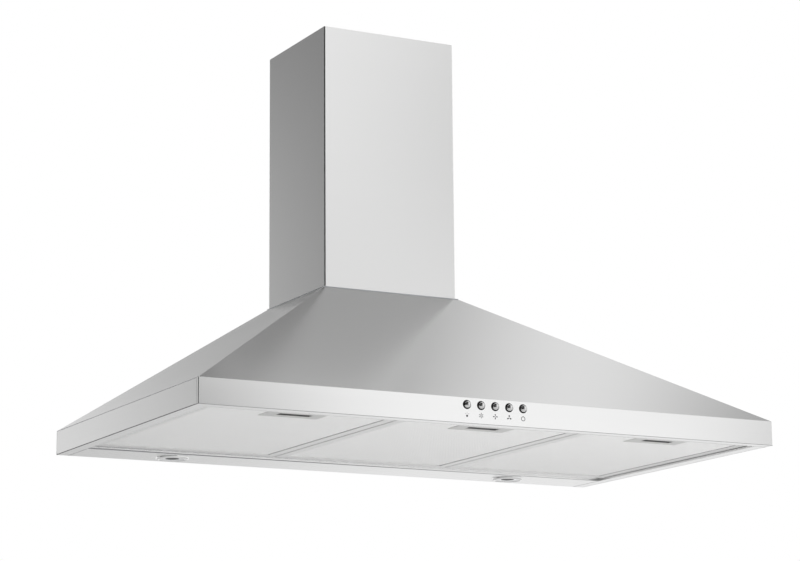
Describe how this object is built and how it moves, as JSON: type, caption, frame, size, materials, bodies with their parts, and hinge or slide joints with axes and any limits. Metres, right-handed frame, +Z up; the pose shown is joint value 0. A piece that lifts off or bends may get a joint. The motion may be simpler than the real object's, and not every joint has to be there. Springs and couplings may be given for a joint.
{
  "type": "chimney range hood",
  "caption": "Wall-hung pyramid range hood in brushed steel with a sliding chimney cover, push buttons, lamps, drop-down mesh grease filters and a blower with a flapped duct outlet.",
  "frame": {"origin": "middle of the hood's width, on the wall plane, at the level of the underside rim", "axes": "+X to the right seen from the front, +Y back to the wall, +Z up"},
  "size_m": [0.9, 0.5254, 0.648],
  "materials": {
    "stainless_sheet": "fine horizontal brush lines",
    "galvanised_sheet": "dull zinc coat",
    "zinc_steel": "bright zinc",
    "blower_plastic": "moulded, matt",
    "motor_can": "satin paint",
    "bearing_bronze": "sintered bronze",
    "black_rubber": "matt",
    "outlet_plastic": "moulded, matt",
    "switch_plastic": "moulded, matt",
    "capacitor_plastic": "moulded, satin",
    "chrome_trim": "polished",
    "lamp_glass": "clear with a dark reflector behind",
    "lamp_plastic": "moulded, matt",
    "lamp_source": "glossy",
    "filter_frame_aluminium": "rolled, satin",
    "filter_mesh_aluminium": "expanded metal",
    "latch_steel": "fine brush lines",
    "latch_plastic": "moulded, matt",
    "spring_steel": "bare spring strip"
  },
  "bodies": {
    "hood": {"canopy_front": "stainless_sheet", "canopy_left": "stainless_sheet", "canopy_right": "stainless_sheet", "front_fascia": "stainless_sheet", "side_band_left": "stainless_sheet", "side_band_right": "stainless_sheet", "rim_rails": "stainless_sheet", "lamp_panel": "stainless_sheet", "back_plate": "galvanised_sheet", "neck_plate": "galvanised_sheet", "chimney_lower": "stainless_sheet", "neck_screws": "zinc_steel", "scroll_left": "blower_plastic", "scroll_right": "blower_plastic", "scroll_screws": "zinc_steel", "motor": "motor_can", "motor_bearings": "bearing_bronze", "motor_bracket": "galvanised_sheet", "motor_bushes": "black_rubber", "duct_collar": "outlet_plastic", "damper_rod": "zinc_steel", "outlet_screws": "zinc_steel", "terminal_box": "switch_plastic", "terminal_lid": "switch_plastic", "capacitor": "capacitor_plastic", "cable_grommet": "black_rubber", "switch_block": "switch_plastic", "switch_nuts": "zinc_steel", "lamp_bezels": "chrome_trim", "lamp_lenses": "lamp_glass", "lamp_bodies": "lamp_plastic", "lamp_emitters": "lamp_source"},
    "inner_chimney": {"chimney_upper": "stainless_sheet", "chimney_bracket": "galvanised_sheet", "bracket_screws": "zinc_steel"},
    "fan_wheel": {"impeller": "blower_plastic", "motor_shaft": "zinc_steel", "impeller_nut": "zinc_steel"},
    "damper_front": {"damper_flap_front": "outlet_plastic"},
    "damper_rear": {"damper_flap_rear": "outlet_plastic"},
    "button_light": {"button_light": "chrome_trim"},
    "button_high": {"button_high": "chrome_trim"},
    "button_medium": {"button_medium": "chrome_trim"},
    "button_low": {"button_low": "chrome_trim"},
    "button_off": {"button_off": "chrome_trim"},
    "filter_left": {"filter_frame_left": "filter_frame_aluminium", "filter_mesh_left": "filter_mesh_aluminium", "latch_plate_left": "latch_steel", "latch_spring_left": "spring_steel"},
    "latch_left": {"latch_slider_left": "latch_plastic"},
    "filter_centre": {"filter_frame_centre": "filter_frame_aluminium", "filter_mesh_centre": "filter_mesh_aluminium", "latch_plate_centre": "latch_steel", "latch_spring_centre": "spring_steel"},
    "latch_centre": {"latch_slider_centre": "latch_plastic"},
    "filter_right": {"filter_frame_right": "filter_frame_aluminium", "filter_mesh_right": "filter_mesh_aluminium", "latch_plate_right": "latch_steel", "latch_spring_right": "spring_steel"},
    "latch_right": {"latch_slider_right": "latch_plastic"}
  },
  "joints": [
    {"name": "chimney_extend", "type": "slide", "parent": "hood", "child": "inner_chimney", "axis": [0, 0, 1], "range_m": [0, 0.295]},
    {"name": "fan_spin", "type": "hinge", "parent": "hood", "child": "fan_wheel", "pos_m": [0, -0.17025, 0.1475], "axis": [1, 0, 0], "continuous": true},
    {"name": "damper_front_open", "type": "hinge", "parent": "hood", "child": "damper_front", "pos_m": [0, -0.098, 0.255], "axis": [-1, 0, 0], "range_deg": [0, 75]},
    {"name": "damper_rear_open", "type": "hinge", "parent": "hood", "child": "damper_rear", "pos_m": [0, -0.098, 0.255], "axis": [1, 0, 0], "range_deg": [0, 75]},
    {"name": "button_light_press", "type": "slide", "parent": "hood", "child": "button_light", "axis": [0, 1, 0], "range_m": [0, 0.003], "stiffness_N_per_m": 600},
    {"name": "button_high_press", "type": "slide", "parent": "hood", "child": "button_high", "axis": [0, 1, 0], "range_m": [0, 0.003], "stiffness_N_per_m": 600},
    {"name": "button_medium_press", "type": "slide", "parent": "hood", "child": "button_medium", "axis": [0, 1, 0], "range_m": [0, 0.003], "stiffness_N_per_m": 600},
    {"name": "button_low_press", "type": "slide", "parent": "hood", "child": "button_low", "axis": [0, 1, 0], "range_m": [0, 0.003], "stiffness_N_per_m": 600},
    {"name": "button_off_press", "type": "slide", "parent": "hood", "child": "button_off", "axis": [0, 1, 0], "range_m": [0, 0.003], "stiffness_N_per_m": 600},
    {"name": "filter_left_drop", "type": "hinge", "parent": "hood", "child": "filter_left", "pos_m": [0, -0.095, 0.0032], "axis": [1, 0, 0], "range_deg": [0, 45]},
    {"name": "latch_left_pull", "type": "slide", "parent": "filter_left", "child": "latch_left", "axis": [0, 1, 0], "range_m": [-0.003, 0.005], "stiffness_N_per_m": 300, "springref_m": -0.004, "deforming": ["latch_spring_left"]},
    {"name": "filter_centre_drop", "type": "hinge", "parent": "hood", "child": "filter_centre", "pos_m": [0, -0.095, 0.0032], "axis": [1, 0, 0], "range_deg": [0, 45]},
    {"name": "latch_centre_pull", "type": "slide", "parent": "filter_centre", "child": "latch_centre", "axis": [0, 1, 0], "range_m": [-0.003, 0.005], "stiffness_N_per_m": 300, "springref_m": -0.004, "deforming": ["latch_spring_centre"]},
    {"name": "filter_right_drop", "type": "hinge", "parent": "hood", "child": "filter_right", "pos_m": [0, -0.095, 0.0032], "axis": [1, 0, 0], "range_deg": [0, 45]},
    {"name": "latch_right_pull", "type": "slide", "parent": "filter_right", "child": "latch_right", "axis": [0, 1, 0], "range_m": [-0.003, 0.005], "stiffness_N_per_m": 300, "springref_m": -0.004, "deforming": ["latch_spring_right"]}
  ]
}
